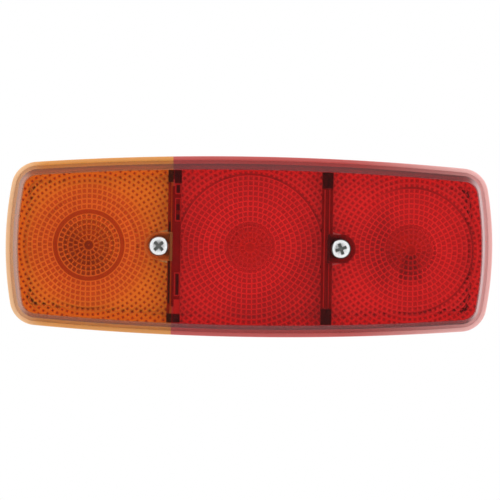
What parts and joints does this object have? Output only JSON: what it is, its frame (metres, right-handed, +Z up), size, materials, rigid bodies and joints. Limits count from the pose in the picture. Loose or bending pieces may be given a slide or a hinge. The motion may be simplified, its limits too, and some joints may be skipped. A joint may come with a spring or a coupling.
{
  "type": "tail light cluster",
  "caption": "Rear lamp with an amber indicator and red stop and tail lamps under one bowed lens held by two cross recess screws, on a moulded tray with mounting studs.",
  "frame": {"origin": "on the flat mounting face at the back, midway between the two mounting studs", "axes": "+X along the lamp from the amber end to the red end as seen from the front, +Z up, the lens looks along -Y"},
  "size_m": [0.24, 0.09, 0.089],
  "materials": {
    "amber_plastic": "polished, see-through",
    "red_plastic": "polished, see-through",
    "black_plastic": "moulded",
    "black_rubber": "matt",
    "bright_metal": "bright",
    "zinc_steel": "zinc plated",
    "brass": "plain",
    "clear_glass": "clear"
  },
  "bodies": {
    "root": {"amber_lens": "amber_plastic", "red_lens": "red_plastic", "lens_screws": "zinc_steel", "threaded_inserts": "brass", "lens_gasket": "black_rubber", "base_housing": "black_plastic", "reflector_plate": "bright_metal", "plate_screws": "zinc_steel", "bulb_glasses": "clear_glass", "bulb_caps": "brass", "indicator_socket": "bright_metal", "stop_socket": "bright_metal", "tail_socket": "bright_metal", "indicator_contact": "brass", "stop_contact": "brass", "tail_contact": "brass", "contact_rivets": "brass", "earth_terminal": "brass", "earth_rivet": "brass", "cable_grommet": "black_rubber", "mounting_studs": "zinc_steel"}
  },
  "joints": []
}
